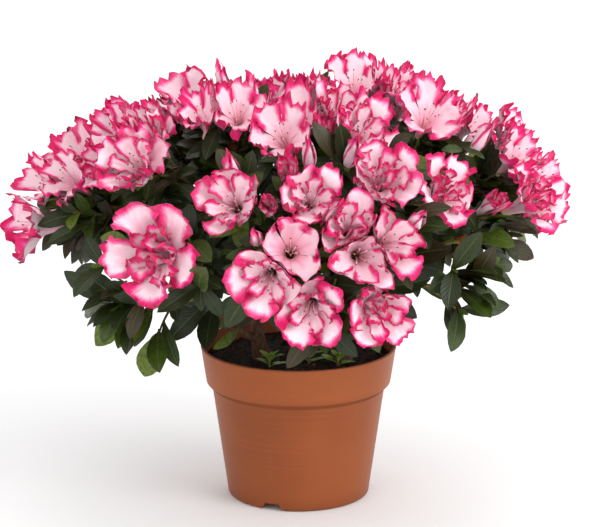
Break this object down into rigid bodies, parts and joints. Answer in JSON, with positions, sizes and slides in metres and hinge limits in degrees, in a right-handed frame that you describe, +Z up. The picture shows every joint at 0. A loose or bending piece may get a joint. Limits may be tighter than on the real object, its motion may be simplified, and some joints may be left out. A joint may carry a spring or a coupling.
{
  "type": "azalea shrub in a pot",
  "caption": "Low, wide azalea shrub in full bloom with ruffled pink and white blossoms, dark leaves and woody stems, in a round tapered plastic pot.",
  "frame": {"origin": "middle of the pot's flat underside", "axes": "+Z up along the pot's axis, -Y towards the front of the plant, +X to the right as seen from the front"},
  "size_m": [0.3739, 0.3286, 0.2929],
  "materials": {
    "pot": "satin terracotta-coloured plastic with fine moulding lines",
    "soil": "dark crumbly peat with fibres",
    "wood": "grey-brown fissured bark",
    "blossom": "thin soft petals, deep pink at the margins and nearly white inside, among leaves",
    "leaves": "dark green, slightly glossy leaves"
  },
  "bodies": {
    "root": {"pot": "pot", "soil": "soil", "stem_back": "wood", "stem_left": "wood", "stem_right": "wood", "bough_back_high_1": "wood", "bough_back_high_2": "wood", "bough_back_high_3": "wood", "bough_back_leaves_1": "wood", "bough_back_leaves_2": "wood", "bough_back_low_1": "wood", "bough_back_low_2": "wood", "bough_back_low_3": "wood", "bough_back_low_4": "wood", "bough_back_top_1": "wood", "bough_big_left": "wood", "bough_centre": "wood", "bough_centre_right": "wood", "bough_front_low": "wood", "bough_inner_left": "wood", "bough_inner_right": "wood", "bough_leaves_left": "wood", "bough_leaves_right": "wood", "bough_left": "wood", "bough_low_right": "wood", "bough_middle": "wood", "bough_right": "wood", "bough_top_left": "wood", "bough_top_middle": "wood", "bough_top_right": "wood", "bough_upper_left": "wood", "bough_upper_right": "wood", "mass_back_high_1": "blossom", "mass_back_high_2": "blossom", "mass_back_high_3": "blossom", "mass_back_leaves_1": "leaves", "mass_back_leaves_2": "leaves", "mass_back_low_1": "blossom", "mass_back_low_2": "blossom", "mass_back_low_3": "blossom", "mass_back_low_4": "blossom", "mass_back_top_1": "blossom", "mass_big_left": "blossom", "mass_centre": "blossom", "mass_centre_right": "blossom", "mass_front_low": "blossom", "mass_inner_left": "blossom", "mass_inner_right": "blossom", "mass_leaves_left": "leaves", "mass_leaves_right": "leaves", "mass_left": "blossom", "mass_low_right": "blossom", "mass_middle": "blossom", "mass_right": "blossom", "mass_top_left": "blossom", "mass_top_middle": "blossom", "mass_top_right": "blossom", "mass_upper_left": "blossom", "mass_upper_right": "blossom", "mass_young_leaves": "leaves"}
  },
  "joints": []
}
